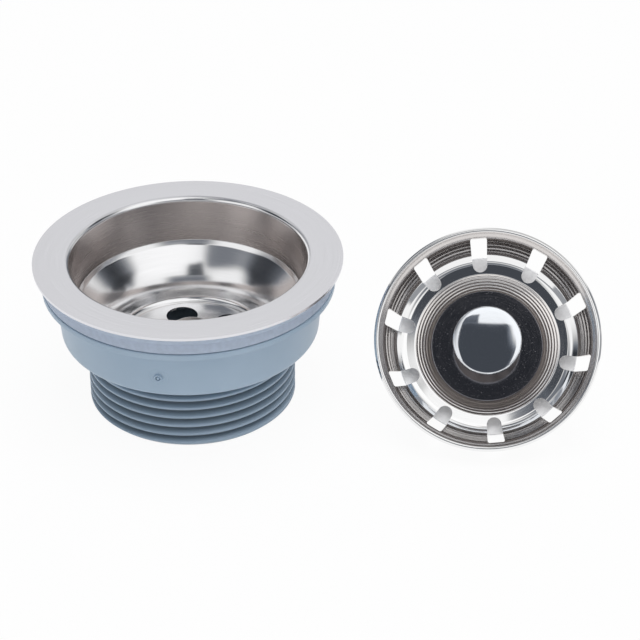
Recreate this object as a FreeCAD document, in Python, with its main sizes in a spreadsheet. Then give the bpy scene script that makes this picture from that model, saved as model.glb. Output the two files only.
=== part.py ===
"""Basket strainer waste for a kitchen sink, with its lift-out basket lying beside it.

The waste stands on the end of its outlet spigot. Its own axis is Z, and z = 0 is the spigot's end.
The basket lies on the same surface, on the edge of its seal and the tip of its stem, and looks
towards -Y. All lengths are in millimetres and all angles in degrees.
"""

import FreeCAD, Part
import math
import os
import re
import Sketcher

Vector = FreeCAD.Vector
UP = Vector(0, 0, 1)
OUT_FOLDER = "parts"

SIZES = [
    ("spigot_wall", 3.7, "waterway's wall to the crest of the outlet thread, which comes to G 1 1/2"),
    ("spigot_length", 17.0, "spigot's end to the bowl's underside"),
    ("bore_inset", 0.3, "waterway's wall inside the cup's crease"),
    ("entry_gap", 2.3, "waterway's sloping mouth outside the cup's crease"),
    ("entry_depth", 3.9, "height of that slope"),
    ("spigot_bevel", 0.8, "bevel round the spigot's end"),
    ("flange_radius", 35.0, "outside of the steel flange"),
    ("lip_setback", 1.8, "lip of the plastic bowl inside the flange's edge"),
    ("bowl_setback", 2.9, "bowl's side inside its lip"),
    ("bowl_draft", 0.9, "how much the bowl narrows to its foot"),
    ("bowl_height", 14.2, "bowl's underside to the washer's seat"),
    ("bowl_foot", 1.5, "soft edge round the bowl's foot"),
    ("bowl_wall", 2.0, "wall of the plastic bowl"),
    ("bowl_base", 2.0, "thickness of the bowl's base"),
    ("lip_edge", 1.4, "height of the lip's edge"),
    ("lip_slope", 1.3, "slope from that edge down to the wall"),
    ("seat_rib", 0.6, "height of the rib that the washer sits on"),
    ("rib_setback", 2.1, "rib's distance from the lip's edge"),
    ("boss_radius", 7.4, "boss that takes the clamp screw"),
    ("boss_length", 10.0, "height of the boss"),
    ("web_thickness", 2.4, "each web that carries the boss"),
    ("web_height", 7.0, "height of the webs"),
    ("web_drop", 1.0, "webs' top below the boss's top"),
    ("web_count", 3, "webs between the drain holes"),
    ("nut_width", 10.4, "brass nut held in the boss, across its flats"),
    ("nut_height", 6.5, "height of that nut"),
    ("nut_cover", 2.0, "plastic over the nut"),
    ("body_washer", 2.3, "thickness of the washer under the sink"),
    ("body_washer_setback", 0.1, "its edge inside the lip's edge"),
    ("flange_washer", 1.9, "thickness of the washer above the sink"),
    ("flange_washer_setback", 0.4, "its edge inside the flange's edge"),
    ("washer_gap", 1.8, "gap between both washers and the cup"),
    ("cup_gauge", 0.6, "steel of the flange and cup"),
    ("flange_width", 8.2, "flange's edge to the cup's inside wall"),
    ("mouth_round", 1.5, "rolled edge between flange and wall"),
    ("wall_depth", 10.9, "flange to the foot of the upright wall"),
    ("wall_draft", 1.0, "how much the wall narrows to its foot"),
    ("ledge_width", 0.6, "step in under the wall"),
    ("ledge_drop", 1.0, "height of that step"),
    ("waist_radius", 20.5, "cup's inside at its crease"),
    ("waist_depth", 16.7, "flange to the crease"),
    ("cup_depth", 23.2, "flange to the cup's floor"),
    ("cup_floor_inset", 2.2, "cup's inside just above its floor, inside the crease"),
    ("cup_floor_round", 1.0, "soft edge round the floor"),
    ("drain_hole_radius", 3.7, "each drain hole"),
    ("drain_ring_inset", 8.8, "circle of the drain holes inside the crease"),
    ("drain_hole_count", 6, "drain holes"),
    ("drain_hole_angle", 104.0, "direction of the first drain hole"),
    ("screw_head_radius", 5.9, "head of the clamp screw"),
    ("screw_head_side", 2.6, "upright side of the head"),
    ("screw_head_height", 4.2, "height of the whole head"),
    ("screw_crown_radius", 4.2, "flat on the head's top"),
    ("screw_shank", 4.0, "radius of the shank"),
    ("screw_reach", 9.6, "shank below the head"),
    ("screw_bore", 1.95, "hollow of the screw, which guides the stem"),
    ("socket_width", 4.0, "hexagon for the key, across its flats"),
    ("socket_depth", 2.4, "depth of that hexagon"),
    ("screw_gap", 0.15, "gap round the shank in cup and boss"),
    ("basket_gauge", 0.5, "steel of the basket"),
    ("rim_radius", 25.3, "outside of the basket's rim"),
    ("rim_land", 0.7, "width of the rim's sloping edge"),
    ("rim_fall", 0.7, "how far that edge turns down"),
    ("shoulder_radius", 23.0, "basket's inside where its wall starts"),
    ("shoulder_drop", 1.8, "rim to that line"),
    ("foot_radius", 20.6, "basket's inside at the wall's foot"),
    ("foot_drop", 7.6, "rim to the wall's foot"),
    ("track_radius", 19.1, "outside of the flat ring under the wall"),
    ("track_drop", 8.7, "rim to the flat ring"),
    ("dip_radius", 16.3, "ring where the middle dips"),
    ("dish_radius", 12.6, "flat floor of the dip"),
    ("dish_drop", 10.9, "rim to that floor"),
    ("slot_count", 10, "slots round the basket"),
    ("slot_width", 3.8, "width of each slot"),
    ("slot_start", 16.7, "inner end of the slots from the axis"),
    ("slot_finish", 23.2, "outer end of the slots from the axis"),
    ("basket_angle", 25.8, "direction of the first slot"),
    ("knob_radius", 7.7, "top of the lift knob"),
    ("knob_height", 8.8, "height of the knob"),
    ("knob_edge", 0.9, "soft edge of the knob's top"),
    ("knob_side", 1.1, "upright side under that edge"),
    ("knob_neck", 3.6, "radius of the knob's neck"),
    ("knob_neck_height", 2.6, "foot to the neck"),
    ("knob_foot", 4.7, "radius of the knob's foot"),
    ("knob_foot_height", 0.9, "height of that foot"),
    ("seal_radius", 20.6, "outside of the seal"),
    ("seal_edge", 1.8, "height of the seal's edge"),
    ("seal_lift", 0.75, "edge's top above the middle's top"),
    ("seal_undercut", 0.6, "taper of that edge"),
    ("seal_middle", 17.6, "radius where the seal turns up"),
    ("seal_thickness", 2.3, "thickness of the middle"),
    ("stem_radius", 1.7, "pin that guides the basket"),
    ("stem_flange_radius", 6.5, "flange that holds the seal up"),
    ("stem_flange", 0.9, "thickness of that flange"),
    ("stem_drop", 33.4, "rim to the stem's tip"),
    ("stem_tip_radius", 1.2, "flat end of the stem"),
    ("stem_tip_bevel", 0.8, "length of the bevel at that end"),
    ("stem_in_knob", 5.0, "length of stem screwed into the knob"),
    ("stem_gap", 0.1, "gap round the stem where it passes through"),
    ("ring_height", 4.2, "tip to the middle of the friction ring"),
    ("ring_radius", 2.05, "outside of the friction ring"),
    ("ring_bed_radius", 1.25, "stem's radius under the ring"),
    ("basket_across", 67.0, "waste's axis to the rim's centre, along X"),
    ("basket_towards", -14.8, "the same along Y"),
    ("facing_angle", -5.4, "turn of the leaning basket about Z"),
]

NAMES = [name for name, value, note in SIZES]

document = FreeCAD.newDocument("basket_strainer_waste")
sheet = document.addObject("Spreadsheet::Sheet", "Sizes")
for row, (name, value, note) in enumerate(SIZES, start=1):
    sheet.set(f"A{row}", str(value))
    sheet.setAlias(f"A{row}", name)
    sheet.set(f"B{row}", note)
document.recompute()


def bound(formula):
    """The formula with every size's name pointing at its cell in the sheet."""
    return re.sub(r"[a-z_]+", lambda word: f"Sizes.{word[0]}" if word[0] in NAMES else word[0], formula)


def number(formula):
    """What a formula of sizes comes to."""
    return float(sheet.evalExpression(bound(formula)))


def height(formula, turn="0"):
    """A place on the waste's axis: a height, and a turn about it."""
    return f"placement(vector(0; 0; {formula}); rotation(vector(0; 0; 1); {turn}))"


# Heights on the waste's axis, from the spigot's end upwards.
SEAT = "(spigot_length + bowl_height)"
LIP_TOP = f"({SEAT} - seat_rib)"
FLANGE_WASHER_FOOT = f"({SEAT} + body_washer)"
FLANGE_TOP = f"({FLANGE_WASHER_FOOT} + flange_washer + cup_gauge)"
CUP_FLOOR = f"({FLANGE_TOP} - cup_depth)"
BOSS_TOP = f"({CUP_FLOOR} - cup_gauge)"
NUT_TOP = f"({BOSS_TOP} - nut_cover)"

# The lip and its washer follow the flange, and the washers' holes follow the cup.
LIP_RADIUS = "(flange_radius - lip_setback)"
BOWL_RADIUS = f"({LIP_RADIUS} - bowl_setback)"
BODY_WASHER_RADIUS = f"({LIP_RADIUS} - body_washer_setback)"
FLANGE_WASHER_RADIUS = "(flange_radius - flange_washer_setback)"
MOUTH_RADIUS = "(flange_radius - flange_width)"
WASHER_BORE = f"({MOUTH_RADIUS} + washer_gap)"

# The floor, its holes and the waterway follow the crease in the cup.
CUP_FLOOR_RADIUS = "(waist_radius - cup_floor_inset)"
DRAIN_RING = "(waist_radius - drain_ring_inset)"
SPIGOT_BORE = "(waist_radius - bore_inset)"
SPIGOT_RADIUS = f"({SPIGOT_BORE} + spigot_wall)"

# The webs stand between the drain holes.
BODY_TURN = "(drain_hole_angle + 180 / drain_hole_count)"

# The basket leans until the seal's lower edge and the stem's tip both lie at z = 0.
SEAL_TOP = "(dish_drop + basket_gauge)"
REST_RADIUS = "(seal_radius - seal_undercut)"
REST_DROP = f"({SEAL_TOP} - seal_lift + seal_edge)"
LEAN = f"atan((stem_drop - {REST_DROP}) / ({REST_RADIUS} - stem_tip_radius))"
RIM_HEIGHT = f"({REST_RADIUS} * sin({LEAN}) + {REST_DROP} * cos({LEAN}))"
BASKET_SPOT = f"vector(basket_across; basket_towards; {RIM_HEIGHT})"
BASKET_LEAN = f"rotation(vector(0; 0; 1); facing_angle) * rotation(vector(1; 0; 0); {LEAN})"


def in_basket(formula):
    """A place on the basket's axis, at a height above its rim."""
    return f"placement({BASKET_SPOT}; {BASKET_LEAN}) * {height(formula, 'basket_angle')}"


def new_body(name, place):
    """An empty body with its Placement bound to the sheet."""
    body = document.addObject("PartDesign::Body", name)
    body.Label = name
    body.setExpression("Placement", bound(place))
    return body


def new_sketch(body, name, plane="XZ_Plane", level="0"):
    """A sketch on one of the body's own origin planes, or lifted off it."""
    support = next(item for item in body.Origin.OriginFeatures if item.Role == plane)
    sketch = body.newObject("Sketcher::SketchObject", name)
    sketch.AttachmentSupport = [(support, "")]
    sketch.MapMode = "FlatFace"
    sketch.setExpression("AttachmentOffset", bound(height(level)))
    return sketch


def tie(sketch, kind, *where):
    """Adds a constraint whose last entry is a formula of sizes, and keeps it bound to the sheet."""
    *geometry, formula = where
    index = sketch.addConstraint(Sketcher.Constraint(kind, *geometry, number(formula)))
    sketch.setExpression(f"Constraints[{index}]", bound(formula))


def hold_point(sketch, line, end, across, along):
    """Dimensions the end of a line from the sketch's two axes."""
    for kind, axis, formula in (("DistanceX", -2, across), ("DistanceY", -1, along)):
        if formula == "0":
            sketch.addConstraint(Sketcher.Constraint("PointOnObject", line, end, axis))
        else:
            tie(sketch, kind, -1, 1, line, end, formula)


def draw_outline(sketch, corners, closed=True):
    """Straight runs through corners that are pairs of formulas: across, then along."""
    points = [Vector(number(across), number(along), 0) for across, along in corners]
    if closed:
        points.append(points[0])
    runs = [sketch.addGeometry(Part.LineSegment(*ends), False) for ends in zip(points, points[1:])]
    for run, (across, along) in zip(runs, corners):
        hold_point(sketch, run, 1, across, along)
    for run, following in zip(runs, runs[1:]):
        sketch.addConstraint(Sketcher.Constraint("Coincident", run, 2, following, 1))
    if closed:
        sketch.addConstraint(Sketcher.Constraint("Coincident", runs[-1], 2, runs[0], 1))
    else:
        hold_point(sketch, runs[-1], 2, *corners[-1])


def draw_hexagon(sketch, width):
    """A regular hexagon about the sketch's origin, with one corner on its first axis."""
    reach = number(width) / math.sqrt(3)
    turns = [math.radians(60 * side) for side in range(7)]
    corners = [Vector(reach * math.cos(turn), reach * math.sin(turn), 0) for turn in turns]
    sides = [sketch.addGeometry(Part.LineSegment(*ends), False) for ends in zip(corners, corners[1:])]
    ring = sketch.addGeometry(Part.Circle(Vector(0, 0, 0), UP, reach), True)
    sketch.addConstraint(Sketcher.Constraint("Coincident", ring, 3, -1, 1))
    for before, side in zip(sides[-1:] + sides, sides):
        sketch.addConstraint(Sketcher.Constraint("Coincident", before, 2, side, 1))
        sketch.addConstraint(Sketcher.Constraint("PointOnObject", side, 1, ring))
    for side in sides[1:]:
        sketch.addConstraint(Sketcher.Constraint("Equal", sides[0], side))
    sketch.addConstraint(Sketcher.Constraint("PointOnObject", sides[0], 1, -1))
    tie(sketch, "Distance", sides[0], f"{width} / sqrt(3)")


def turned(body, name, corners):
    """Adds to a body what its closed outline sweeps about the body's axis."""
    sketch = new_sketch(body, f"{name}_outline")
    draw_outline(sketch, corners)
    turn = body.newObject("PartDesign::Revolution", name)
    turn.Profile = sketch
    turn.ReferenceAxis = (sketch, ["V_Axis"])
    turn.Angle = 360
    return turn


def pressed(name, place, corners, gauge):
    """A round pressing: the line of its upper face, thickened downwards and swept about the axis."""
    line = document.addObject("Sketcher::SketchObject", f"{name}_line")
    line.Placement = FreeCAD.Placement(Vector(0, 0, 0), FreeCAD.Rotation(Vector(1, 0, 0), 90))
    draw_outline(line, corners, closed=False)
    ribbon = document.addObject("Part::Offset2D", f"{name}_ribbon")
    ribbon.Source = line
    ribbon.Mode = "Skin"
    ribbon.Join = "Intersection"
    ribbon.Fill = True
    ribbon.setExpression("Value", bound(gauge))
    blank = document.addObject("Part::Revolution", f"{name}_blank")
    blank.Source = ribbon
    blank.Axis = UP
    blank.Angle = 360
    blank.Solid = True
    document.recompute()
    body = new_body(name, place)
    body.BaseFeature = blank
    document.recompute()
    return body


def punched(body, name, sketch, count):
    """Punches a sketch down through a pressing, and repeats it round the axis."""
    punch = body.newObject("PartDesign::Pocket", name)
    punch.Profile = sketch
    punch.Type = "ThroughAll"
    document.recompute()
    repeated(body, punch, sketch, count)


def repeated(body, feature, sketch, count):
    """Repeats a feature evenly round the sketch's normal."""
    pattern = body.newObject("PartDesign::PolarPattern", f"{feature.Name}_ring")
    pattern.Originals = [feature]
    pattern.Axis = (sketch, ["N_Axis"])
    pattern.Angle = 360
    pattern.setExpression("Occurrences", bound(count))
    body.Tip = pattern
    document.recompute()


def quarter_bend(across, along, radius, to_across, to_along):
    """Three corners on a quarter turn that starts level and ends upright, or the other way round.

    It joins two lines that would meet at (across, along). The signs say which way each line leaves.
    """
    near = "0.293"
    return [
        (f"{across} {to_across} {radius}", along),
        (f"{across} {to_across} {near} * {radius}", f"{along} {to_along} {near} * {radius}"),
        (across, f"{along} {to_along} {radius}"),
    ]


def make_steel_cup():
    """Flange, wall, ledge, bowl and floor, pressed from one disc and punched with the drain holes."""
    corners = [
        ("flange_radius", "0"),
        *quarter_bend(MOUTH_RADIUS, "0", "mouth_round", "+", "-"),
        (f"{MOUTH_RADIUS} - wall_draft", "-wall_depth"),
        (f"{MOUTH_RADIUS} - wall_draft - ledge_width", "-wall_depth - ledge_drop"),
        ("waist_radius", "-waist_depth"),
        (CUP_FLOOR_RADIUS, "-cup_depth + cup_floor_round"),
        (f"{CUP_FLOOR_RADIUS} - cup_floor_round", "-cup_depth"),
        ("screw_shank + screw_gap", "-cup_depth"),
    ]
    cup = pressed("steel_cup", height(FLANGE_TOP, "drain_hole_angle"), corners, "cup_gauge")
    sketch = new_sketch(cup, "drain_hole_outline", "XY_Plane")
    centre = Vector(number(DRAIN_RING), 0, 0)
    circle = sketch.addGeometry(Part.Circle(centre, UP, number("drain_hole_radius")), False)
    tie(sketch, "Radius", circle, "drain_hole_radius")
    hold_point(sketch, circle, 3, DRAIN_RING, "0")
    punched(cup, "drain_hole", sketch, "drain_hole_count")


def make_washer(name, foot, radius, thickness):
    """A flat rubber washer."""
    corners = [(WASHER_BORE, "0"), (radius, "0"), (radius, thickness), (WASHER_BORE, thickness)]
    turned(new_body(name, height(foot)), f"{name}_ring", corners)


def make_waste_body():
    """The moulding: bowl with its lip, outlet spigot, and the boss that the clamp screw pulls up."""
    body = new_body("waste_body", height("0", BODY_TURN))
    lip_foot = f"{LIP_TOP} - lip_edge"
    rib = f"{LIP_RADIUS} - rib_setback"
    foot = f"{BOWL_RADIUS} - bowl_draft"
    wall = f"{BOWL_RADIUS} - bowl_wall"
    bowl_floor = "spigot_length + bowl_base"
    shell = [
        (SPIGOT_BORE, "0"),
        (f"{SPIGOT_RADIUS} - spigot_bevel", "0"),
        (SPIGOT_RADIUS, "spigot_bevel"),
        (SPIGOT_RADIUS, "spigot_length"),
        (f"{foot} - bowl_foot", "spigot_length"),
        (foot, "spigot_length + bowl_foot"),
        (BOWL_RADIUS, f"{lip_foot} - lip_slope"),
        (LIP_RADIUS, lip_foot),
        (LIP_RADIUS, LIP_TOP),
        (rib, LIP_TOP),
        (rib, SEAT),
        (wall, SEAT),
        (wall, bowl_floor),
        ("waist_radius + entry_gap", bowl_floor),
        (SPIGOT_BORE, f"{bowl_floor} - entry_depth"),
    ]
    turned(body, "bowl_and_spigot", shell)
    boss_foot = f"{BOSS_TOP} - boss_length"
    hole = "screw_shank + screw_gap"
    boss = [
        (hole, boss_foot),
        ("boss_radius", boss_foot),
        ("boss_radius", BOSS_TOP),
        (hole, BOSS_TOP),
    ]
    sketch = new_sketch(body, "web_outline", "XY_Plane", f"{BOSS_TOP} - web_drop - web_height")
    start = "boss_radius - 0.6"
    finish = f"{SPIGOT_BORE} + 1"
    half = "web_thickness / 2"
    web = [(start, f"-{half}"), (finish, f"-{half}"), (finish, half), (start, half)]
    draw_outline(sketch, web)
    pad = body.newObject("PartDesign::Pad", "web")
    pad.Profile = sketch
    pad.setExpression("Length", bound("web_height"))
    document.recompute()
    repeated(body, pad, sketch, "web_count")
    turned(body, "boss", boss)
    sketch = new_sketch(body, "nut_bed_outline", "XY_Plane", boss_foot)
    draw_hexagon(sketch, "nut_width")
    bed = body.newObject("PartDesign::Pocket", "nut_bed")
    bed.Profile = sketch
    bed.Reversed = True
    bed.setExpression("Length", bound("boss_length - nut_cover"))
    body.Tip = bed


def make_hub_nut():
    """The brass nut that sits in the boss and takes the clamp screw."""
    nut = new_body("hub_nut", height(f"{NUT_TOP} - nut_height", BODY_TURN))
    sketch = new_sketch(nut, "nut_outline", "XY_Plane")
    draw_hexagon(sketch, "nut_width")
    circle = sketch.addGeometry(Part.Circle(Vector(0, 0, 0), UP, number("screw_shank")), False)
    sketch.addConstraint(Sketcher.Constraint("Coincident", circle, 3, -1, 1))
    tie(sketch, "Radius", circle, "screw_shank")
    pad = nut.newObject("PartDesign::Pad", "nut")
    pad.Profile = sketch
    pad.setExpression("Length", bound("nut_height"))


def make_clamp_screw():
    """The hollow screw that draws flange and bowl together, with a hexagon for its key."""
    screw = new_body("clamp_screw", height(CUP_FLOOR))
    corners = [
        ("screw_bore", "-screw_reach"),
        ("screw_shank", "-screw_reach"),
        ("screw_shank", "0"),
        ("screw_head_radius", "0"),
        ("screw_head_radius", "screw_head_side"),
        ("screw_crown_radius", "screw_head_height"),
        ("screw_bore", "screw_head_height"),
    ]
    turned(screw, "screw", corners)
    sketch = new_sketch(screw, "socket_outline", "XY_Plane", "screw_head_height")
    draw_hexagon(sketch, "socket_width")
    socket = screw.newObject("PartDesign::Pocket", "socket")
    socket.Profile = sketch
    socket.setExpression("Length", bound("socket_depth"))


def make_basket_shell():
    """The pressed basket: rim, shoulder, wall, flat ring and dished middle, punched with its slots."""
    corners = [
        ("rim_radius", "-rim_fall"),
        ("rim_radius - rim_land", "0"),
        ("shoulder_radius", "-shoulder_drop"),
        ("foot_radius", "-foot_drop"),
        ("track_radius", "-track_drop"),
        ("dip_radius", "-track_drop"),
        ("dish_radius", "-dish_drop"),
        ("stem_radius + stem_gap", "-dish_drop"),
    ]
    basket = pressed("basket_shell", in_basket("0"), corners, "basket_gauge")
    sketch = new_sketch(basket, "slot_outline", "XY_Plane")
    half = number("slot_width / 2")
    bend = Vector(number("slot_start") + half, 0, 0)
    far = number("slot_finish")
    end = Part.ArcOfCircle(Part.Circle(bend, UP, half), math.pi / 2, 3 * math.pi / 2)
    arc = sketch.addGeometry(end, False)
    low = sketch.addGeometry(Part.LineSegment(Vector(bend.x, -half, 0), Vector(far, -half, 0)), False)
    outer = sketch.addGeometry(Part.LineSegment(Vector(far, -half, 0), Vector(far, half, 0)), False)
    high = sketch.addGeometry(Part.LineSegment(Vector(far, half, 0), Vector(bend.x, half, 0)), False)
    sketch.addConstraint(Sketcher.Constraint("Tangent", arc, 2, low, 1))
    sketch.addConstraint(Sketcher.Constraint("Coincident", low, 2, outer, 1))
    sketch.addConstraint(Sketcher.Constraint("Coincident", outer, 2, high, 1))
    sketch.addConstraint(Sketcher.Constraint("Tangent", high, 2, arc, 1))
    sketch.addConstraint(Sketcher.Constraint("Horizontal", low))
    sketch.addConstraint(Sketcher.Constraint("Vertical", outer))
    tie(sketch, "Radius", arc, "slot_width / 2")
    hold_point(sketch, arc, 3, "slot_start + slot_width / 2", "0")
    tie(sketch, "DistanceX", -1, 1, outer, 1, "slot_finish")
    punched(basket, "slot", sketch, "slot_count")


def make_lift_knob():
    """The turned knob that the basket is lifted by."""
    side_top = "knob_height - knob_edge"
    corners = [
        ("stem_radius", "0"),
        ("knob_foot", "0"),
        ("knob_foot", "knob_foot_height"),
        ("knob_neck", "knob_neck_height"),
        ("knob_radius", f"{side_top} - knob_side"),
        ("knob_radius", side_top),
        ("knob_radius - knob_edge", "knob_height"),
        ("0", "knob_height"),
        ("0", "stem_in_knob"),
        ("stem_radius", "stem_in_knob"),
    ]
    turned(new_body("lift_knob", in_basket("-dish_drop")), "knob", corners)


def make_seal_disc():
    """The rubber disc under the basket, whose edge turns up to the cup's slope."""
    hole = "stem_radius + stem_gap"
    corners = [
        (hole, "0"),
        ("seal_middle", "0"),
        ("seal_radius", "seal_lift"),
        (REST_RADIUS, "seal_lift - seal_edge"),
        ("seal_middle", "-seal_thickness"),
        (hole, "-seal_thickness"),
    ]
    turned(new_body("seal_disc", in_basket(f"-{SEAL_TOP}")), "seal", corners)


def make_stem_pin():
    """The pin that guides the basket, with the flange under the seal and the friction ring's bed."""
    flange_top = f"stem_drop - {SEAL_TOP} - seal_thickness"
    flange_foot = f"{flange_top} - stem_flange"
    bed = "ring_radius - ring_bed_radius"
    pin_top = "stem_drop - dish_drop + stem_in_knob"
    corners = [
        ("0", "0"),
        ("stem_tip_radius", "0"),
        ("stem_radius", "stem_tip_bevel"),
        ("stem_radius", f"ring_height - ({bed}) / 2"),
        ("ring_bed_radius", f"ring_height - ({bed}) / 2"),
        ("ring_bed_radius", f"ring_height + ({bed}) / 2"),
        ("stem_radius", f"ring_height + ({bed}) / 2"),
        ("stem_radius", flange_foot),
        ("stem_flange_radius", flange_foot),
        ("stem_flange_radius", flange_top),
        ("stem_radius", flange_top),
        ("stem_radius", pin_top),
        ("0", pin_top),
    ]
    turned(new_body("stem_pin", in_basket("-stem_drop")), "pin", corners)


def make_stem_o_ring():
    """The rubber ring that rubs in the hollow screw, eight-sided in section."""
    middle = "(ring_radius + ring_bed_radius) / 2"
    flat = "(ring_radius - ring_bed_radius) / 2"
    short = f"{flat} * 0.414"
    corners = [
        (f"{middle} - {flat}", f"-{short}"),
        (f"{middle} - {short}", f"-{flat}"),
        (f"{middle} + {short}", f"-{flat}"),
        (f"{middle} + {flat}", f"-{short}"),
        (f"{middle} + {flat}", short),
        (f"{middle} + {short}", flat),
        (f"{middle} - {short}", flat),
        (f"{middle} - {flat}", short),
    ]
    turned(new_body("stem_o_ring", in_basket("-stem_drop + ring_height")), "ring", corners)


def check(objects):
    """Stops at anything that did not rebuild cleanly."""
    for item in objects:
        if {"Invalid", "Error"} & set(item.State):
            raise RuntimeError(f"{item.Label} did not rebuild: {item.State}")
        shape = getattr(item, "Shape", None)
        if shape is not None and (shape.isNull() or not shape.isValid()):
            raise RuntimeError(f"{item.Label} has a bad shape")


def check_features(body):
    """Stops where a pad, turn or cut left the body's volume as it was, or split the body."""
    volume = None
    for feature in body.Group:
        if feature.isDerivedFrom("PartDesign::Feature"):
            if volume is not None and abs(feature.Shape.Volume - volume) < 0.5:
                raise RuntimeError(f"{feature.Label} changed nothing")
            volume = feature.Shape.Volume
    if len(body.Shape.Solids) != 1:
        raise RuntimeError(f"{body.Label} is in {len(body.Shape.Solids)} pieces")


make_steel_cup()
make_washer("flange_gasket", FLANGE_WASHER_FOOT, FLANGE_WASHER_RADIUS, "flange_washer")
make_washer("body_gasket", SEAT, BODY_WASHER_RADIUS, "body_washer")
make_waste_body()
make_clamp_screw()
make_hub_nut()
make_basket_shell()
make_lift_knob()
make_seal_disc()
make_stem_pin()
make_stem_o_ring()
document.recompute()

check(document.Objects)
bodies = [item for item in document.Objects if item.TypeId == "PartDesign::Body"]
os.makedirs(OUT_FOLDER, exist_ok=True)
for body in bodies:
    check_features(body)
    body.Shape.exportStep(os.path.join(OUT_FOLDER, f"{body.Label}.step"))
    print(body.Label, round(body.Shape.Volume, 1), body.Shape.BoundBox)
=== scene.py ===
"""Basket strainer waste and its lift-out basket, dressed for a studio photograph.

Lengths are in millimetres until a mesh is built, and every mesh is in metres.
"""

import math

import bmesh
import bpy
from mathutils import Matrix, Vector


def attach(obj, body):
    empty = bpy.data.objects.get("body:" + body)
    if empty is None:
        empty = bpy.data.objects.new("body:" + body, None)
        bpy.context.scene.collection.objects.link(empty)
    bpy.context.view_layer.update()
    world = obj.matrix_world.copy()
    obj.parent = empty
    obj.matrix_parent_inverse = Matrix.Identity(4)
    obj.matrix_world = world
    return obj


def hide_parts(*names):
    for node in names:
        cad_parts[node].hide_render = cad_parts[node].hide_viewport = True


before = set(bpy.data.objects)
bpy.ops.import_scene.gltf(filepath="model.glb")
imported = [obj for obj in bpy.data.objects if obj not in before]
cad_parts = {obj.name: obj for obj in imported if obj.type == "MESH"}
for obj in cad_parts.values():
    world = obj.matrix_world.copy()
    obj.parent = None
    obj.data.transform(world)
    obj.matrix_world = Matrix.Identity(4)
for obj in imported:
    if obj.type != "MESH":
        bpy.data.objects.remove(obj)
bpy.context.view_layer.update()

MM = 0.001
ROUND = 224
SHARP = math.radians(32)
MITRE_LIMIT = 0.3

# Sizes shared with the solids.
SPIGOT_RADIUS = 23.9
SPIGOT_LENGTH = 17.0
SPIGOT_BORE = 20.2
SPIGOT_CHAMFER = 0.8
BOWL_RADIUS = 30.3
BOWL_TOP = 27.9
BOWL_DRAFT = 0.9
LIP_RADIUS = 33.2
SEAT = 31.2
SEAT_RADIUS = 31.1
LIP_TOP = 30.6
BODY_BORE = 28.3
BODY_FLOOR = 19.0
BOSS_TOP = 12.2
NUT_BED = 10.4
SCREW_HOLE = 4.15
SCREW_BORE = 1.95
SCREW_SOCKET = 4.0
FLANGE_TOP = 36.0
CUP_FLOOR = 12.8
CUP_GAUGE = 0.6
WASHER_BORE = 28.6
BODY_GASKET = 2.3
FLANGE_GASKET = 1.9
BASKET_GAUGE = 0.5
DRAIN_HOLES = 6
DRAIN_RADIUS = 3.7
DRAIN_CIRCLE = 11.7
DRAIN_TURN = math.radians(104)
WEB_TURN = math.radians(134)
GATE_TURN = math.radians(-100.3)
GATE_HEIGHT = 22.4
BASKET_SLOTS = 10
SLOT_WIDTH = 3.8
STEM_HOLE = 1.8
DISH_DROP = 10.9
SEAL_TOP = 11.4
STEM_DROP = 33.4
THREAD_PITCH = 2.309
THREAD_DEPTH = 1.4
THREAD_START = 1.3
GROOVE_MOUTH = 1.95
GROOVE_ROOT = 0.3

# The basket leans on the lower edge of its seal and on the tip of its stem.
REST_RADIUS = 20.0
REST_DROP = 12.45
TIP_RADIUS = 1.2
LEAN = math.atan((STEM_DROP - REST_DROP) / (REST_RADIUS - TIP_RADIUS))
RIM_HEIGHT = REST_RADIUS * math.sin(LEAN) + REST_DROP * math.cos(LEAN)
FACING = math.radians(-5.4)
BASKET_TURN = math.radians(25.8)
BASKET_PLACE = (
    Matrix.Translation(Vector((67.0, -14.8, RIM_HEIGHT)) * MM)
    @ Matrix.Rotation(FACING, 4, "Z")
    @ Matrix.Rotation(LEAN, 4, "X")
    @ Matrix.Rotation(BASKET_TURN, 4, "Z")
)


def on_axis(height, turn=0.0):
    return Matrix.Translation(Vector((0, 0, height * MM))) @ Matrix.Rotation(turn, 4, "Z")


def in_basket(height):
    return BASKET_PLACE @ Matrix.Translation(Vector((0, 0, height * MM)))


# Mesh helpers.


def rounded(corners, closed=True, step=12):
    """Replaces each (across, along, radius) corner with an arc. Corners with no radius stay sharp."""
    count = len(corners)
    points = []
    for i, corner in enumerate(corners):
        here = Vector(corner[:2])
        end = not closed and i in (0, count - 1)
        if len(corner) < 3 or end:
            points.append(here)
            continue
        before = (Vector(corners[i - 1][:2]) - here).normalized()
        after = (Vector(corners[(i + 1) % count][:2]) - here).normalized()
        half = before.angle(after) / 2
        radius = corner[2]
        centre = here + (before + after).normalized() * (radius / math.sin(half))
        start = here + before * (radius / math.tan(half)) - centre
        turn = math.pi - 2 * half
        if before.cross(after) > 0:
            turn = -turn
        steps = max(2, math.ceil(math.degrees(abs(turn)) / step))
        for k in range(steps + 1):
            swing = Matrix.Rotation(turn * k / steps, 2)
            points.append(centre + swing @ start)
    return points


def thickened(line, gauge):
    """A closed loop: the line of a sheet's upper face, and its lower face one gauge to the left."""
    lower = []
    for i, point in enumerate(line):
        before = (point - line[i - 1]).normalized() if i > 0 else None
        after = (line[i + 1] - point).normalized() if i < len(line) - 1 else None
        before = before or after
        after = after or before
        along = (before + after).normalized()
        left = Vector((-along.y, along.x))
        lower.append(point + left * gauge / max(MITRE_LIMIT, left.dot(Vector((-before.y, before.x)))))
    return line + lower[::-1]


def even_turns(count):
    return [2 * math.pi * k / count for k in range(count)]


def as_mesh(name, work):
    mesh = bpy.data.meshes.new(name)
    work.to_mesh(mesh)
    work.free()
    return mesh


def as_solid(name, work):
    bmesh.ops.recalc_face_normals(work, faces=work.faces)
    return as_mesh(name, work)


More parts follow.
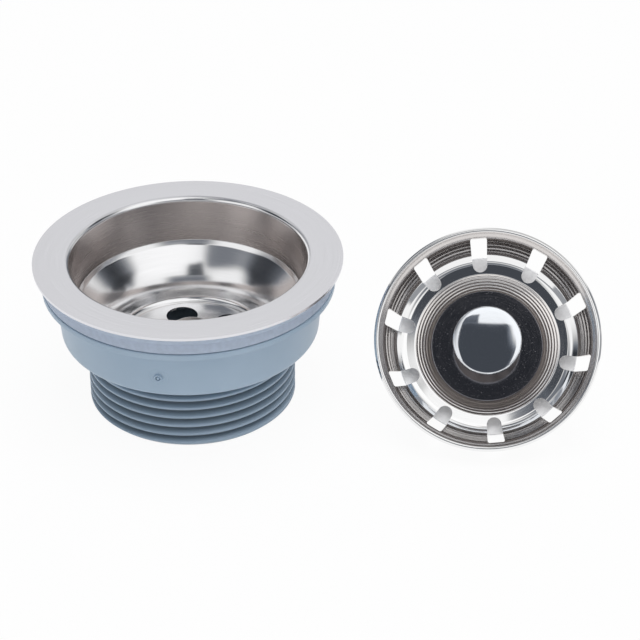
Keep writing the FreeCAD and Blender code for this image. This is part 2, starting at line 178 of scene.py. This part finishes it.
def linked(name, data):
    """A new object in the scene."""
    item = bpy.data.objects.new(name, data)
    bpy.context.collection.objects.link(item)
    return item


def ring(work, radii, height):
    """A ring of points at one height, each at its own radius."""
    spots = zip(radii, even_turns(len(radii)))
    return [work.verts.new((r * math.cos(t) * MM, r * math.sin(t) * MM, height * MM)) for r, t in spots]


def bridge(work, rings):
    """Faces from each ring to the next, and from the last to the first. A pole repeats its one point."""
    around = len(rings[0])
    for a, b in zip(rings, rings[1:] + rings[:1]):
        for k in range(around):
            n = (k + 1) % around
            unique = list(dict.fromkeys([a[k], a[n], b[n], b[k]]))
            if len(unique) > 2:
                work.faces.new(unique)


def lathe(name, loop, around=ROUND):
    """A surface of revolution about Z through a closed loop of (radius, height) points."""
    work = bmesh.new()
    rings = []
    for point in loop:
        if point.x < 1e-6:
            rings.append([work.verts.new((0, 0, point.y * MM))] * around)
        else:
            rings.append(ring(work, [point.x] * around, point.y))
    bridge(work, rings)
    return as_solid(name, work)


def prism(name, outline, low, high):
    """An upright prism through an outline of (x, y) points."""
    work = bmesh.new()
    bottom = [work.verts.new((x * MM, y * MM, low * MM)) for x, y in outline]
    top = [work.verts.new((x * MM, y * MM, high * MM)) for x, y in outline]
    count = len(outline)
    for k in range(count):
        n = (k + 1) % count
        work.faces.new((bottom[k], bottom[n], top[n], top[k]))
    work.faces.new(bottom[::-1])
    work.faces.new(top)
    return as_solid(name, work)


def add(name, mesh, place, material, nodes):
    """Puts a mesh in the scene as a piece that rides with the part.

    The place goes into the mesh, and each point keeps its place on its own axis as "local".
    """
    local = mesh.attributes.new("local", "FLOAT_VECTOR", "POINT")
    spots = [0.0] * (3 * len(mesh.vertices))
    mesh.vertices.foreach_get("co", spots)
    local.data.foreach_set("vector", spots)
    mesh.transform(place)
    piece = linked(name, mesh)
    mesh.shade_smooth()
    mesh.set_sharp_from_angle(angle=SHARP)
    mesh.materials.clear()
    mesh.materials.append(material)
    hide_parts(*nodes)
    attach(piece, "root")


def cut(mesh, cutters):
    """The mesh with each cutter's volume taken away."""
    target = linked("cut_target", mesh)
    helpers = []
    for k, cutter in enumerate(cutters):
        helper = linked(f"cutter_{k}", cutter)
        helpers.append(helper)
        change = target.modifiers.new(f"cut_{k}", "BOOLEAN")
        change.operation = "DIFFERENCE"
        change.solver = "EXACT"
        change.object = helper
    graph = bpy.context.evaluated_depsgraph_get()
    result = bpy.data.meshes.new_from_object(target.evaluated_get(graph))
    for item in [target] + helpers:
        bpy.data.objects.remove(item)
    return result


def join(name, meshes):
    """One mesh that holds several closed shells."""
    work = bmesh.new()
    for mesh in meshes:
        work.from_mesh(mesh)
    return as_mesh(name, work)


def turned_outline(outline, turn):
    cos, sin = math.cos(turn), math.sin(turn)
    return [(x * cos - y * sin, x * sin + y * cos) for x, y in outline]


def circle_outline(radius, centre=(0, 0), count=72):
    x, y = centre
    return [(x + radius * math.cos(t), y + radius * math.sin(t)) for t in even_turns(count)]


def hexagon(across_flats):
    return circle_outline(across_flats / math.sqrt(3), count=6)


# Materials.


class Nodes:
    """Short names for building the nodes of one material or of the world."""

    def __init__(self, name, world=None):
        self.material = world or bpy.data.materials.new(name)
        self.material.use_nodes = True
        self.tree = self.material.node_tree
        self.shader = self.tree.nodes.get("Principled BSDF")

    def new(self, kind, **settings):
        node = self.tree.nodes.new(kind)
        for key, value in settings.items():
            if key in node.inputs:
                node.inputs[key].default_value = value
            else:
                setattr(node, key, value)
        return node

    def link(self, source, target):
        self.tree.links.new(source, target)

    def math(self, operation, a, b=None):
        node = self.new("ShaderNodeMath", operation=operation)
        for socket, value in zip(node.inputs, (a, b)):
            if value is None:
                continue
            if isinstance(value, (int, float)):
                socket.default_value = value
            else:
                self.link(value, socket)
        return node.outputs[0]

    def ramp(self, factor, stops):
        node = self.new("ShaderNodeValToRGB")
        ramp = node.color_ramp
        while len(ramp.elements) < len(stops):
            ramp.elements.new(0.5)
        for element, (place, colour) in zip(ramp.elements, stops):
            element.position = place
            element.color = (*colour, 1)
        self.link(factor, node.inputs[0])
        return node.outputs[0]

    def local(self):
        return self.new("ShaderNodeAttribute", attribute_name="local").outputs["Vector"]

    def split(self, vector):
        node = self.new("ShaderNodeSeparateXYZ")
        self.link(vector, node.inputs[0])
        return node.outputs

    def axis_distance(self, vector):
        x, y, _ = self.split(vector)
        return self.math("SQRT", self.math("ADD", self.math("MULTIPLY", x, x), self.math("MULTIPLY", y, y)))

    def spun(self, fine, slow):
        """Coordinates that change fast across turning marks and slowly along them."""
        place = self.local()
        x, y, z = self.split(place)
        radius = self.axis_distance(place)
        safe = self.math("MAXIMUM", radius, 1e-5)
        cos = self.math("DIVIDE", x, safe)
        sin = self.math("DIVIDE", y, safe)
        join_up = self.new("ShaderNodeCombineXYZ")
        self.link(self.math("MULTIPLY", radius, fine), join_up.inputs[0])
        self.link(self.math("MULTIPLY", z, fine), join_up.inputs[1])
        self.link(self.math("MULTIPLY", cos, slow), join_up.inputs[2])
        return join_up.outputs[0], self.math("MULTIPLY", sin, slow)

    def between(self, value, low, high, soft):
        """One where the value lies between two limits, with soft ends, and nothing outside them."""
        rise = self.new("ShaderNodeMapRange", interpolation_type="SMOOTHSTEP")
        fall = self.new("ShaderNodeMapRange", interpolation_type="SMOOTHSTEP")
        for node, edge, ends in ((rise, low, (0, 1)), (fall, high, (1, 0))):
            self.link(value, node.inputs["Value"])
            node.inputs["From Min"].default_value = edge - soft
            node.inputs["From Max"].default_value = edge + soft
            node.inputs["To Min"].default_value = ends[0]
            node.inputs["To Max"].default_value = ends[1]
        return self.math("MULTIPLY", rise.outputs["Result"], fall.outputs["Result"])

    def turned_noise(self, fine, slow):
        vector, w = self.spun(fine, slow)
        noise = self.new("ShaderNodeTexNoise", noise_dimensions="4D", Scale=1.0, Detail=3.0, Roughness=0.6)
        self.link(vector, noise.inputs["Vector"])
        self.link(w, noise.inputs["W"])
        return noise.outputs["Fac"]

    def bump(self, height, distance):
        node = self.new("ShaderNodeBump", Strength=1.0, Distance=distance)
        self.link(height, node.inputs["Height"])
        self.link(node.outputs[0], self.shader.inputs["Normal"])


def set_shader(nodes, **values):
    for key, value in values.items():
        socket = nodes.shader.inputs[key.replace("_", " ")]
        socket.default_value = (*value, 1) if isinstance(value, tuple) else value


def satin_steel(name, colour, roughness, spread, marks=9000.0, bump=0.000002):
    nodes = Nodes(name)
    set_shader(nodes, Metallic=1.0)
    noise = nodes.turned_noise(marks, 2.0)
    dark = tuple(c * 0.93 for c in colour)
    nodes.link(nodes.ramp(noise, [(0.3, dark), (0.7, colour)]), nodes.shader.inputs["Base Color"])
    low, high = roughness - spread, roughness + spread
    nodes.link(
        nodes.ramp(noise, [(0.3, (low, low, low)), (0.7, (high, high, high))]),
        nodes.shader.inputs["Roughness"],
    )
    nodes.bump(noise, bump)
    return nodes.material


def plain_rubber(name, colour, roughness=0.55):
    nodes = Nodes(name)
    set_shader(nodes, Roughness=roughness)
    noise = nodes.new("ShaderNodeTexNoise", Scale=900.0, Detail=4.0)
    nodes.link(nodes.local(), noise.inputs["Vector"])
    dark = tuple(c * 0.9 for c in colour)
    nodes.link(
        nodes.ramp(noise.outputs["Fac"], [(0.35, dark), (0.65, colour)]), nodes.shader.inputs["Base Color"]
    )
    nodes.bump(noise.outputs["Fac"], 0.00001)
    return nodes.material


def moulded_plastic():
    """Blue-grey plastic, duller, with painted shade darkening the thread's valleys and the inside of the
    spigot.
    """
    nodes = Nodes("body_plastic")
    place = nodes.local()
    broad = nodes.new("ShaderNodeTexNoise", Scale=70.0, Detail=3.0)
    nodes.link(place, broad.inputs["Vector"])
    fine = nodes.new("ShaderNodeTexNoise", Scale=2200.0, Detail=3.0)
    nodes.link(place, fine.inputs["Vector"])
    blue_greys = [(0.35, (0.37, 0.485, 0.605)), (0.65, (0.395, 0.51, 0.63))]
    open_colour = nodes.ramp(broad.outputs["Fac"], blue_greys)
    # The distance from the axis as a share of 30 mm, which is near the bowl's radius.
    reach = nodes.math("DIVIDE", nodes.axis_distance(place), 0.03)
    # Painted shade: the colour darkens towards the axis, in the thread's valleys and inside the spigot, and
    # a little on the crests.
    shade = nodes.ramp(reach, [(0.75, (0.3, 0.3, 0.3)), (0.803, (1, 1, 1))])
    mix = nodes.new("ShaderNodeMix", data_type="RGBA", blend_type="MULTIPLY")
    mix.inputs[0].default_value = 1.0
    nodes.link(open_colour, mix.inputs[6])
    nodes.link(shade, mix.inputs[7])
    nodes.link(mix.outputs[2], nodes.shader.inputs["Base Color"])
    roughness = nodes.ramp(reach, [(0.70, (0.9, 0.9, 0.9)), (0.78, (0.38, 0.38, 0.38))])
    nodes.link(roughness, nodes.shader.inputs["Roughness"])
    nodes.bump(fine.outputs["Fac"], 0.000006)
    return nodes.material


def speckled_steel(name, colour, roughness):
    """Polished steel with fine dust and turning marks on it."""
    nodes = Nodes(name)
    marks = nodes.turned_noise(5000.0, 2.0)
    nodes.link(
        nodes.ramp(marks, [(0.35, (roughness * 0.7,) * 3), (0.7, (roughness * 1.4,) * 3)]),
        nodes.shader.inputs["Roughness"],
    )
    dust = nodes.new("ShaderNodeTexNoise", Scale=4000.0, Detail=2.0)
    nodes.link(nodes.local(), dust.inputs["Vector"])
    spots = nodes.ramp(dust.outputs["Fac"], [(0.66, (1, 1, 1)), (0.72, (0.3, 0.3, 0.3))])
    nodes.link(spots, nodes.shader.inputs["Metallic"])
    nodes.link(
        nodes.ramp(marks, [(0.3, tuple(c * 0.93 for c in colour)), (0.7, colour)]),
        nodes.shader.inputs["Base Color"],
    )
    nodes.bump(marks, 0.0000004)
    return nodes.material


flange_steel = satin_steel("flange_steel", (0.81, 0.81, 0.845), 0.26, 0.015, marks=5000.0, bump=0.0000012)
# Painted reflection: the cup's wall has a darker, browner steel than its flange and bowl, for the dark
# surroundings it mirrors.
wall_steel_painted_reflection = satin_steel("wall_steel_painted_reflection", (0.565, 0.515, 0.495), 0.26, 0.02, marks=5000.0, bump=0.0000008)
bowl_steel = satin_steel("bowl_steel", (0.88, 0.88, 0.89), 0.16, 0.015, bump=0.0000002)
basket_steel = satin_steel("basket_steel", (0.93, 0.93, 0.93), 0.05, 0.02, bump=0.0000003)
dip_steel = satin_steel("dip_steel", (0.95, 0.91, 0.88), 0.15, 0.03, marks=4000.0, bump=0.0000002)
# Painted reflection: the band round the basket's wall has a darker, browner steel than the rest of the
# basket.
band_steel_painted_reflection = satin_steel("band_steel_painted_reflection", (0.72, 0.69, 0.675), 0.2, 0.02, marks=3000.0, bump=0.0000001)
# Painted reflection: the basket's dish has near-black steel, for the dark surroundings it mirrors. The
# specks are dust.
dish_steel_painted_reflection = speckled_steel("dish_steel_painted_reflection", (0.28, 0.275, 0.295), 0.10)
knob_steel = satin_steel("knob_steel", (0.88, 0.91, 0.95), 0.035, 0.01, bump=0.0000001)
# Painted shade: the knob's neck and the underside of its cap have a darker, browner, duller steel.
neck_steel_painted_shade = satin_steel("neck_steel_painted_shade", (0.5, 0.47, 0.45), 0.4, 0.05)
screw_steel = satin_steel("screw_steel", (0.66, 0.65, 0.64), 0.2, 0.04)
body_plastic = moulded_plastic()
washer_rubber = plain_rubber("washer_rubber", (0.49, 0.57, 0.70))
# Painted light: the seal's white is pushed close to full, so that it stays bright in the basket's shade.
seal_rubber = plain_rubber("seal_rubber", (0.97, 0.97, 0.98))
ring_rubber = plain_rubber("ring_rubber", (0.02, 0.02, 0.02), 0.4)
nut_brass = satin_steel("nut_brass", (0.72, 0.50, 0.22), 0.3, 0.05)


# The waste.


def make_cup():
    line = rounded(
        [
            (34.99, 0),
            (26.8, 0, 1.2),
            (25.8, -10.9, 0.45),
            (25.2, -11.9, 1.6),
            (21.2, -15.6, 17.0),
            (19.0, -18.8, 10.0),
            (17.9, -23.2, 1.9),
            (4.15, -23.2),
        ],
        closed=False,
        step=5,
    )
    holes = []
    for turn in even_turns(DRAIN_HOLES):
        centre = (DRAIN_CIRCLE * math.cos(turn), DRAIN_CIRCLE * math.sin(turn))
        holes.append(prism("hole", circle_outline(DRAIN_RADIUS, centre), -25, -22))
    mesh = cut(lathe("steel_cup_mesh", thickened(line, CUP_GAUGE)), holes)
    place = on_axis(FLANGE_TOP, DRAIN_TURN)
    add("steel_cup_detail", mesh, place, flange_steel, ["steel_cup"])
    # The wall's steel is darker and browner: painted reflection.
    mesh.materials.append(wall_steel_painted_reflection)
    mesh.materials.append(bowl_steel)
    flange_from = 27.25
    wall_from = 1.5
    wall_to = 10.7
    for face in mesh.polygons:
        drop = FLANGE_TOP - face.center.z / MM
        radius = math.hypot(face.center.x, face.center.y) / MM
        if radius > flange_from:
            face.material_index = 0
        elif wall_from < drop < wall_to:
            face.material_index = 1
        else:
            face.material_index = 2


def make_washer(name, foot, radius, thickness, taper=0.0, sag=0.0):
    """A washer whose lower edge tapers in, or droops by a sag from just outside the body's seat."""
    droops_from = 31.2
    drooping = [(droops_from, 0), (radius - sag, -sag)] if sag else []
    loop = rounded(
        [
            (WASHER_BORE, 0),
            *drooping,
            (radius - taper, -sag, 0.2),
            (radius, 0.7 * thickness, 0.5),
            (radius, thickness, 0.2),
            (WASHER_BORE, thickness),
        ]
    )
    add(f"{name}_detail", lathe(name, loop), on_axis(foot), washer_rubber, [name])


def thread_groove(phase):
    """How deep the groove is, from 0 at the crest to 1 at the root.

    The phase runs from 0 to 1 over one pitch, with the root in the middle.
    """
    mouth = GROOVE_MOUTH / THREAD_PITCH
    root = GROOVE_ROOT / THREAD_PITCH
    off = abs(phase - 0.5)
    if off <= root / 2:
        depth = 1.0
    elif off >= mouth / 2:
        depth = 0.0
    else:
        depth = 1 - (off - root / 2) / (mouth / 2 - root / 2)
    return depth * depth * (3 - 2 * depth)


def thread_radius(height, turn):
    """The spigot's radius at a point of its thread, which fades out near the chamfer and the bowl."""
    phase = ((height - THREAD_START + 0.5 * THREAD_PITCH) / THREAD_PITCH - turn / (2 * math.pi)) % 1.0
    run_in = max(0.0, (height - SPIGOT_CHAMFER) / 0.5)
    run_out = max(0.0, (SPIGOT_LENGTH - 0.3 - height) / 0.6)
    return SPIGOT_RADIUS - THREAD_DEPTH * thread_groove(phase) * min(1.0, run_in, run_out)


def gate_mark():
    """The moulding mark on the bowl's side: a small ring with a pip in it, bent round the wall."""
    loop = rounded(
        [
            (0, -0.5),
            (2.3, -0.5),
            (2.3, 0.03, 0.1),
            (1.9, 0.03, 0.1),
            (1.8, -0.02),
            (1.0, -0.02),
            (0.9, 0.5, 0.1),
            (0.6, 0.5, 0.1),
            (0.45, -0.1),
            (0.3, 0.45, 0.05),
            (0, 0.45),
        ]
    )
    mesh = lathe("gate_mark", loop, 40)
    for vertex in mesh.vertices:
        across, up, out = vertex.co / MM
        height = GATE_HEIGHT + up
        wall = BOWL_RADIUS - BOWL_DRAFT * (BOWL_TOP - height) / (BOWL_TOP - SPIGOT_LENGTH)
        radius = wall + out
        turn = GATE_TURN - WEB_TURN + across / radius
        vertex.co = Vector((radius * math.cos(turn), radius * math.sin(turn), height)) * MM
    return mesh


def make_body():
    profile = rounded(
        [
            (SPIGOT_RADIUS, SPIGOT_LENGTH),
            (BOWL_RADIUS - BOWL_DRAFT, SPIGOT_LENGTH, 1.9),
            (BOWL_RADIUS, BOWL_TOP, 0.5),
            (LIP_RADIUS, 29.2, 0.35),
            (LIP_RADIUS, LIP_TOP, 0.3),
            (SEAT_RADIUS, LIP_TOP),
            (SEAT_RADIUS, SEAT),
            (BODY_BORE, SEAT),
            (BODY_BORE, BODY_FLOOR, 0.6),
            (22.8, BODY_FLOOR),
            (SPIGOT_BORE, 15.1),
            (SPIGOT_BORE, 0, 0.3),
            (SPIGOT_RADIUS - SPIGOT_CHAMFER, 0, 0.3),
            (SPIGOT_RADIUS, SPIGOT_CHAMFER),
        ],
        closed=False,
    )
    work = bmesh.new()
    rings = [ring(work, [point.x] * ROUND, point.y) for point in profile]
    rows = 150
    for row in range(1, rows):
        height = SPIGOT_CHAMFER + (SPIGOT_LENGTH - SPIGOT_CHAMFER) * row / rows
        rings.append(ring(work, [thread_radius(height, turn) for turn in even_turns(ROUND)], height))
    bridge(work, rings)
    shell = as_solid("body_shell", work)

    boss = rounded([(SCREW_HOLE, 2.2), (7.4, 2.2, 0.4), (7.4, BOSS_TOP, 0.4), (SCREW_HOLE, BOSS_TOP)])
    boss = cut(lathe("boss", boss, 96), [prism("bed", hexagon(NUT_BED), 0, 10.2)])
    web = [(6.9, -1.2), (21.0, -1.2), (21.0, 1.2), (6.9, 1.2)]
    webs = [prism("web", turned_outline(web, turn), 4.2, 11.2) for turn in even_turns(3)]
    mesh = join("waste_body_mesh", [shell, boss, gate_mark()] + webs)
    add("waste_body_detail", mesh, on_axis(0, WEB_TURN), body_plastic, ["waste_body"])


def make_screw():
    loop = rounded(
        [
            (SCREW_BORE, -9.6),
            (4.0, -9.6, 0.4),
            (4.0, 0),
            (5.9, 0, 0.3),
            (5.9, 2.9, 0.9),
            (4.0, 4.2, 0.8),
            (SCREW_BORE, 4.2, 0.2),
        ]
    )
    mesh = cut(lathe("screw", loop, 96), [prism("socket", hexagon(SCREW_SOCKET), 1.8, 6)])
    add("clamp_screw_detail", mesh, on_axis(CUP_FLOOR), screw_steel, ["clamp_screw"])


# The basket.


def slot_outline(turn):
    half = SLOT_WIDTH / 2
    bevel = 0.3
    nose = 1.65
    bend = 16.7 + nose
    outline = [(22.9, -half), (23.2, bevel - half), (23.2, half - bevel), (22.9, half)]
    steps = 16
    for k in range(steps + 1):
        swing = math.pi / 2 + math.pi * k / steps
        outline.append((bend + nose * math.cos(swing), nose * math.sin(swing)))
    return turned_outline(outline, turn)


def spun_line(line, rings):
    """The line with ripples of (radius from, to, pitch, depth) across it.

    It is cut finely where they are. Elsewhere a long stretch gets a point near each end, so that
    smooth shading leaves the rest of it flat.
    """
    cuts_a_pitch = 6
    long_from = 0.5
    guard = 0.12
    fade_over = 0.3
    points = [line[0]]
    travel = [0.0]
    for a, b in zip(line, line[1:]):
        length = (b - a).length
        pitches = [ring[2] for ring in rings if max(a.x, b.x) > ring[0] and min(a.x, b.x) < ring[1]]
        if pitches:
            count = max(1, math.ceil(cuts_a_pitch * length / min(pitches)))
            stops = [k / count for k in range(1, count + 1)]
        elif length > long_from:
            stops = [guard / length, 1 - guard / length, 1]
        else:
            stops = [1]
        done = travel[-1]
        for stop in stops:
            points.append(a.lerp(b, stop))
            travel.append(done + length * stop)
    result = [points[0]]
    for i in range(1, len(points) - 1):
        along = (points[i + 1] - points[i - 1]).normalized()
        offset = 0.0
        for inner, outer, pitch, depth in rings:
            edge = min(points[i].x - inner, outer - points[i].x)
            fade = min(1.0, max(0.0, edge / fade_over))
            offset += fade * depth * math.sin(2 * math.pi * travel[i] / pitch)
        result.append(points[i] + Vector((-along.y, along.x)) * offset)
    return result + [points[-1]]


def make_basket():
    line = rounded(
        [
            (25.29, -0.7),
            (24.6, 0, 0.5),
            (23.0, -1.8, 0.8),
            (20.6, -7.5, 1.0),
            (18.9, -8.6, 2.5),
            (16.3, -8.8, 0.5),
            (12.6, -DISH_DROP, 0.4),
            (STEM_HOLE, -DISH_DROP),
        ],
        closed=False,
        step=6,
    )
    line = spun_line(line, [(12.8, 16.2, 0.72, 0.018), (20.6, 24.2, 1.4, 0.022)])
    mesh = lathe("basket_shell_mesh", thickened(line, BASKET_GAUGE), 288)
    mesh = cut(mesh, [prism("slot", slot_outline(turn), -12, 1) for turn in even_turns(BASKET_SLOTS)])
    radii = [math.hypot(face.center.x, face.center.y) / MM for face in mesh.polygons]
    add("basket_shell_detail", mesh, in_basket(0), basket_steel, ["basket_shell"])
    for material in (dish_steel_painted_reflection, dip_steel, band_steel_painted_reflection):
        mesh.materials.append(material)
    # The dish gets the near-black steel: painted reflection.
    dish_to = 12.7
    dip_to = 16.3
    # The band on the wall gets the darker steel: painted reflection.
    band_from = 20.8
    band_to = 24.3
    for face, radius in zip(mesh.polygons, radii):
        if radius < dish_to:
            face.material_index = 1
        elif radius < dip_to:
            face.material_index = 2
        elif band_from < radius < band_to:
            face.material_index = 3


def make_knob():
    loop = rounded(
        [
            (1.7, 0),
            (4.7, 0, 0.3),
            (4.7, 0.9, 0.4),
            (3.6, 2.6, 1.0),
            (7.7, 6.9, 0.5),
            (7.7, 8.55, 0.4),
            *[(r, 8.8 - r * r / 260) for r in (6.6, 5.5, 4.4, 3.3, 2.2, 1.1, 0)],
            (0, 5.0),
            (1.7, 5.0),
        ],
        step=6,
    )
    mesh = lathe("knob", loop, 160)
    neck_to = 6.6
    under = [face.center.z / MM < neck_to for face in mesh.polygons]
    add("lift_knob_detail", mesh, in_basket(-DISH_DROP), knob_steel, ["lift_knob"])
    # The neck and the cap's underside get the darker steel: painted shade.
    mesh.materials.append(neck_steel_painted_shade)
    for face, below in zip(mesh.polygons, under):
        face.material_index = int(below)


def make_seal():
    loop = rounded(
        [
            (STEM_HOLE, 0),
            (17.6, 0, 4.0),
            (20.6, 0.75, 0.25),
            (REST_RADIUS, -1.05, 0.3),
            (17.6, -2.3, 0.8),
            (STEM_HOLE, -2.3),
        ]
    )
    place = in_basket(-SEAL_TOP)
    add("seal_disc_detail", lathe("seal", loop), place, seal_rubber, ["seal_disc"])


def make_stem():
    loop = rounded(
        [
            (0, 0),
            (TIP_RADIUS, 0, 0.2),
            (1.7, 0.8, 0.3),
            (1.7, 3.8),
            (1.25, 3.8),
            (1.25, 4.6),
            (1.7, 4.6),
            (1.7, 16.4),
            (6.5, 16.4, 0.25),
            (6.5, 17.3, 0.25),
            (1.7, 17.3),
            (1.7, 25.1),
            (0, 25.1),
        ]
    )
    place = in_basket(-STEM_DROP)
    add("stem_pin_detail", lathe("stem", loop, 96), place, screw_steel, ["stem_pin"])


def make_ring():
    """The rubber ring in the stem's groove."""
    loop = [Vector(spot) for spot in circle_outline(0.4, (1.65, 0), 24)]
    place = in_basket(-STEM_DROP + 4.2)
    add("stem_o_ring_detail", lathe("ring", loop, 96), place, ring_rubber, ["stem_o_ring"])


make_cup()
make_washer("body_gasket", SEAT, 33.1, BODY_GASKET, sag=0.4)
make_washer("flange_gasket", SEAT + BODY_GASKET, 34.6, FLANGE_GASKET, taper=1.1)
make_body()
make_screw()
make_basket()
make_knob()
make_seal()
make_stem()
make_ring()
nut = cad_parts["hub_nut"]
nut.data.materials.clear()
nut.data.materials.append(nut_brass)


# The stage.


def make_floor():
    mesh = bpy.data.meshes.new("floor")
    reach = 3.0
    corners = [(-reach, -reach, 0), (reach, -reach, 0), (reach, reach, 0), (-reach, reach, 0)]
    mesh.from_pydata(corners, [], [(0, 1, 2, 3)])
    floor = linked("floor", mesh)
    floor.location.z = -0.00002
    nodes = Nodes("floor_paper")
    set_shader(nodes, Base_Color=(0.86, 0.86, 0.86), Roughness=0.9)
    glow = nodes.new("ShaderNodeEmission", Strength=1.0)
    glow.inputs["Color"].default_value = (1, 1, 1, 1)
    mix = nodes.new("ShaderNodeMixShader")
    path = nodes.new("ShaderNodeLightPath")
    seen = nodes.math("MAXIMUM", path.outputs["Is Camera Ray"], path.outputs["Is Glossy Ray"])
    seen = nodes.math("MAXIMUM", seen, path.outputs["Is Transmission Ray"])
    # Under the spigot the floor is in the waste's own shade, so it has no glow there.
    beside = nodes.axis_distance(nodes.new("ShaderNodeTexCoord").outputs["Object"])
    seen = nodes.math("MULTIPLY", seen, nodes.math("GREATER_THAN", beside, SPIGOT_BORE * MM))
    nodes.link(nodes.math("MULTIPLY", seen, 0.94), mix.inputs[0])
    nodes.link(nodes.shader.outputs[0], mix.inputs[1])
    nodes.link(glow.outputs[0], mix.inputs[2])
    nodes.link(mix.outputs[0], nodes.tree.nodes["Material Output"].inputs["Surface"])
    mesh.materials.append(nodes.material)


def make_lamp(name, place, target, size, power):
    data = bpy.data.lights.new(name, "AREA")
    data.shape = "RECTANGLE"
    data.size, data.size_y = size
    data.energy = power
    lamp = linked(name, data)
    lamp.location = place
    lamp.rotation_euler = (Vector(target) - Vector(place)).to_track_quat("-Z", "Y").to_euler()
    lamp.visible_glossy = False


# What the steel mirrors: (azimuth from, to), (rise from, to), softness, brightness. Azimuth is
# 0 towards -Y and grows towards +X. The second and fifteenth rows were set one by one. The others were
# found by a fitting program, which matched the brightness of the photograph's steel. They were then
# rounded and, in a few places, changed.
STUDIO = [
    ((-209, -160), (-5, 33), 10, 0.76),
    ((140, 190), (-12, 15), 4, 0.1),
    ((-134, -81), (66, 86), 1, 0.05),
    ((-118, 117), (-1.5, 9.4), 1.2, 0.34),
    ((-23, 34), (15, 38), 10, 0.18),
    ((-17, 6.4), (35.6, 54.8), 0.3, 0.07),
    ((10, 84), (38, 58), 7, 1.1),
    ((93, 113), (10, 47), 1, 0.05),
    ((-48, 59), (58, 85), 4, 1.1),
    ((-18, -9), (54.6, 57.3), 0.3, 0.09),
    ((-86, -22), (46, 71), 7, 0.2),
    ((-20, 33), (63, 95), 10, 1.1),
    ((-113, -74), (17, 52), 10, 0.03),
    ((81, 120), (27, 49), 6, 0.03),
    ((-190, 190), (81.5, 86), 10, 0.05),
    ((111, 177), (30, 37), 10, 0.17),
    ((-208, -97), (46, 74), 10, 0.44),
    ((85, 190), (49, 61), 10, 0.43),
    ((4, 61), (50.5, 87.5), 2.5, 1.1),
    ((-161, -86), (22, 36), 10, 0.05),
    ((63, 165), (10, 22), 1, 0.32),
]
TENT = 1.0


def make_world():
    """A white tent with the areas of STUDIO laid over it, each on top of those before it."""
    world = bpy.data.worlds.new("studio")
    bpy.context.scene.world = world
    nodes = Nodes("studio", world)
    x, y, z = nodes.split(nodes.new("ShaderNodeTexCoord").outputs["Generated"])
    turn = nodes.math("DEGREES", nodes.math("ARCTAN2", x, nodes.math("MULTIPLY", y, -1.0)))
    rise = nodes.math("DEGREES", nodes.math("ARCSINE", z))
    level = TENT
    for turns, rises, soft, value in STUDIO:
        mask = nodes.math(
            "MULTIPLY", nodes.between(turn, *turns, soft), nodes.between(rise, *rises, soft)
        )
        level = nodes.math("ADD", level, nodes.math("MULTIPLY", mask, nodes.math("SUBTRACT", value, level)))
    tint = nodes.ramp(level, [(0.1, (0.84, 0.93, 1.1)), (0.5, (1, 1, 1))])
    colour = nodes.new("ShaderNodeVectorMath", operation="SCALE")
    nodes.link(tint, colour.inputs[0])
    nodes.link(level, colour.inputs["Scale"])
    nodes.link(colour.outputs[0], nodes.tree.nodes["Background"].inputs["Color"])


def make_camera():
    focus = Vector((29.725, 0, 18.64)) * MM
    rise = math.radians(32.3)
    distance = 0.470
    data = bpy.data.cameras.new("camera")
    focal_pixels = 2044
    picture_pixels = 640
    data.sensor_width = 36
    data.lens = focal_pixels / picture_pixels * data.sensor_width
    data.clip_start = 0.01
    data.clip_end = 20
    camera = linked("camera", data)
    camera.location = focus + Vector((0, -math.cos(rise), math.sin(rise))) * distance
    camera.rotation_euler = (math.pi / 2 - rise, 0, 0)
    bpy.context.scene.camera = camera


make_floor()
make_world()
make_lamp("top_box", (0.1, -0.1, 1.2), (0, 0, 0), (0.9, 0.9), 6.5)
make_camera()

bpy.context.scene.view_settings.view_transform = "Standard"
